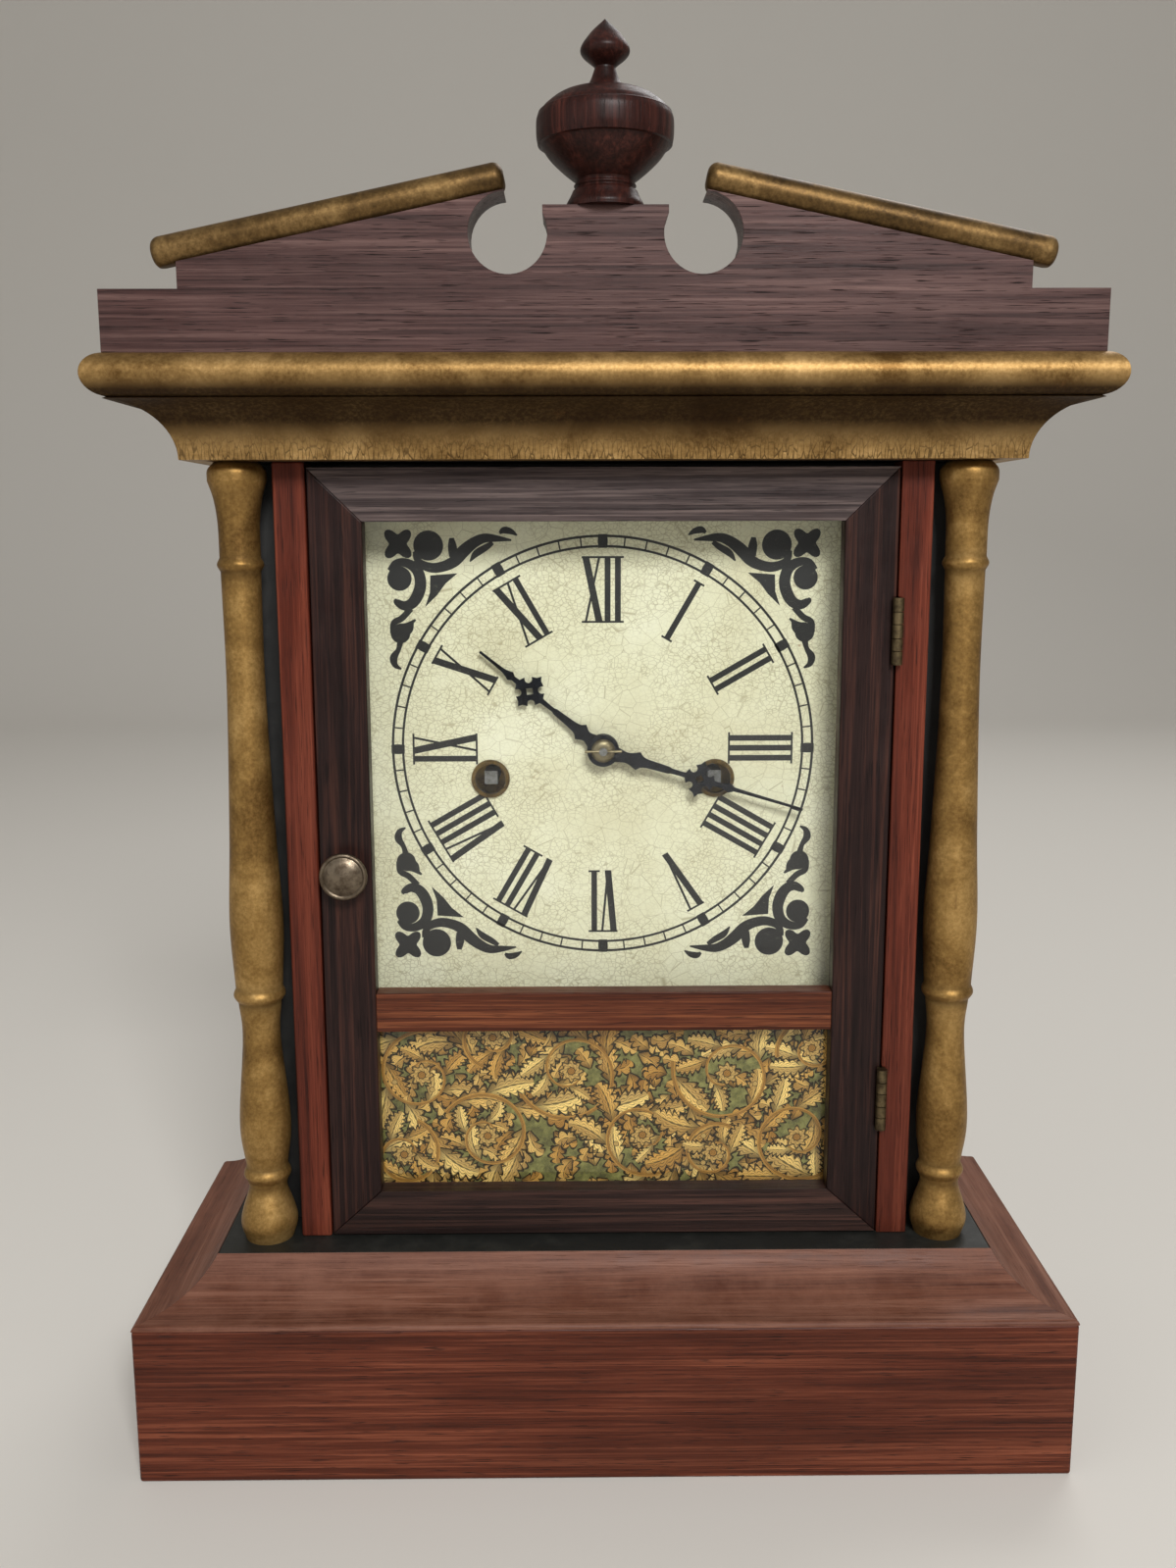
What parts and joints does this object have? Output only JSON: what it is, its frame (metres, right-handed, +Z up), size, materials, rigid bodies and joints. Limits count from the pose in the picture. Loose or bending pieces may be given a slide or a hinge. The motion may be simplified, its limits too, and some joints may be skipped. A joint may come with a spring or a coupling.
{
  "type": "cottage clock",
  "caption": "Shelf clock with a moulded base, two turned columns, glazed door over a painted dial, gilt cornice, scrolled pediment with finial and a striking pendulum movement.",
  "frame": {"origin": "middle of the base's footprint, on the surface it stands on", "axes": "+Z up, -Y towards the viewer (the dial faces -Y), +X to the viewer's right"},
  "size_m": [0.274, 0.1143, 0.403],
  "materials": {
    "base_veneer": "worn satin varnish",
    "cove_paint": "dusty satin varnish",
    "black_paint": "ebonised satin",
    "strip_veneer": "worn satin varnish",
    "door_rosewood": "satin varnish",
    "rail_veneer": "satin varnish",
    "pediment_wood": "open-pored dull varnish",
    "finial_wood": "glossy varnish",
    "case_wood": "bare, darkened",
    "gilt": "antiqued gilding",
    "dial_paint": "crackled ivory paint",
    "glass": "old clear glass",
    "tablet": "printed paper",
    "blued_steel": "blued",
    "brass": "aged",
    "knob_metal": "worn plate",
    "steel": "turned",
    "iron": "dark"
  },
  "bodies": {
    "case": {"base_front": "base_veneer", "base_side_left": "base_veneer", "base_side_right": "base_veneer", "cove_front": "cove_paint", "cove_left": "cove_paint", "cove_right": "cove_paint", "plinth_board": "black_paint", "column_left": "gilt", "column_right": "gilt", "front_frame": "black_paint", "strip_left": "strip_veneer", "strip_right": "strip_veneer", "case_side_left": "case_wood", "case_side_right": "case_wood", "case_back": "case_wood", "soffit_board": "case_wood", "cornice_front": "gilt", "cornice_left": "gilt", "cornice_right": "gilt", "pediment_board": "pediment_wood", "gilt_rod_left": "gilt", "gilt_rod_right": "gilt", "finial": "finial_wood", "dial_battens": "case_wood", "dial_plate": "dial_paint", "key_grommets": "brass", "hinge_case_leaves": "brass", "front_plate": "brass", "back_plate": "brass", "plate_pillars": "steel", "mainsprings": "steel", "gong": "steel", "gong_block": "case_wood"},
    "door": {"door_stile_left": "door_rosewood", "door_stile_right": "door_rosewood", "door_top_rail": "door_rosewood", "door_mid_rail": "rail_veneer", "door_bottom_rail": "door_rosewood", "dial_glass": "glass", "tablet_glass": "glass", "tablet_print": "tablet", "door_knob": "knob_metal", "hinge_door_leaves": "brass"},
    "minute": {"centre_arbor": "brass", "minute_hand": "blued_steel", "hand_collet": "brass"},
    "hour": {"hour_wheel": "brass", "hour_hand": "blued_steel"},
    "minute_wheel": {"minute_wheel": "brass"},
    "third": {"third_wheel": "brass"},
    "escape": {"escape_wheel": "brass"},
    "time_great": {"time_great_wheel": "brass"},
    "time_winding": {"time_winding_arbor": "steel"},
    "strike_great": {"strike_great_wheel": "brass"},
    "strike_winding": {"strike_winding_arbor": "steel"},
    "pins": {"pin_wheel": "brass"},
    "pendulum": {"verge": "steel", "pendulum_rod": "steel", "pendulum_bob": "brass"},
    "hammer": {"hammer": "iron"}
  },
  "joints": [
    {"name": "door_swing", "type": "hinge", "parent": "case", "child": "door", "pos_m": [0.08355, -0.0261, 0.1755], "axis": [0, 0, 1], "range_deg": [0, 150]},
    {"name": "minute_turn", "type": "hinge", "parent": "case", "child": "minute", "pos_m": [0, 0, 0.21], "axis": [0, 1, 0], "continuous": true},
    {"name": "hour_turn", "type": "hinge", "parent": "case", "child": "hour", "pos_m": [0, 0, 0.21], "axis": [0, 1, 0], "continuous": true},
    {"name": "minute_wheel_turn", "type": "hinge", "parent": "case", "child": "minute_wheel", "pos_m": [0.012, 0, 0.21], "axis": [0, 1, 0], "continuous": true},
    {"name": "third_turn", "type": "hinge", "parent": "case", "child": "third", "pos_m": [-0.00453, 0.02, 0.22989], "axis": [0, 1, 0], "continuous": true},
    {"name": "escape_turn", "type": "hinge", "parent": "case", "child": "escape", "pos_m": [-0.015, 0.02, 0.243], "axis": [0, 1, 0], "continuous": true},
    {"name": "time_great_turn", "type": "hinge", "parent": "case", "child": "time_great", "pos_m": [0.034, 0.03, 0.2009], "axis": [0, 1, 0], "continuous": true},
    {"name": "time_winding_turn", "type": "hinge", "parent": "case", "child": "time_winding", "pos_m": [0.034, 0.02, 0.2009], "axis": [0, 1, 0], "continuous": true},
    {"name": "strike_great_turn", "type": "hinge", "parent": "case", "child": "strike_great", "pos_m": [-0.034, 0.03, 0.2009], "axis": [0, 1, 0], "continuous": true},
    {"name": "strike_winding_turn", "type": "hinge", "parent": "case", "child": "strike_winding", "pos_m": [-0.034, 0.02, 0.2009], "axis": [0, 1, 0], "continuous": true},
    {"name": "pin_wheel_turn", "type": "hinge", "parent": "case", "child": "pins", "pos_m": [-0.03679, 0.02, 0.23278], "axis": [0, 1, 0], "continuous": true},
    {"name": "pendulum_swing", "type": "hinge", "parent": "case", "child": "pendulum", "pos_m": [-0.015, 0.001, 0.261], "axis": [0, 1, 0], "range_deg": [-3, 3]},
    {"name": "hammer_swing", "type": "hinge", "parent": "case", "child": "hammer", "pos_m": [-0.014, 0.027, 0.17], "axis": [0, 1, 0], "range_deg": [0, 15]}
  ],
  "couplings": [
    {"joint": "hour_turn", "follows": "minute_turn", "ratio": 0.083333},
    {"joint": "minute_wheel_turn", "follows": "minute_turn", "ratio": -0.33333},
    {"joint": "third_turn", "follows": "minute_turn", "ratio": -7.5},
    {"joint": "escape_turn", "follows": "minute_turn", "ratio": 57.857},
    {"joint": "time_great_turn", "follows": "minute_turn", "ratio": -0.1},
    {"joint": "pin_wheel_turn", "follows": "strike_great_turn", "ratio": -9}
  ]
}
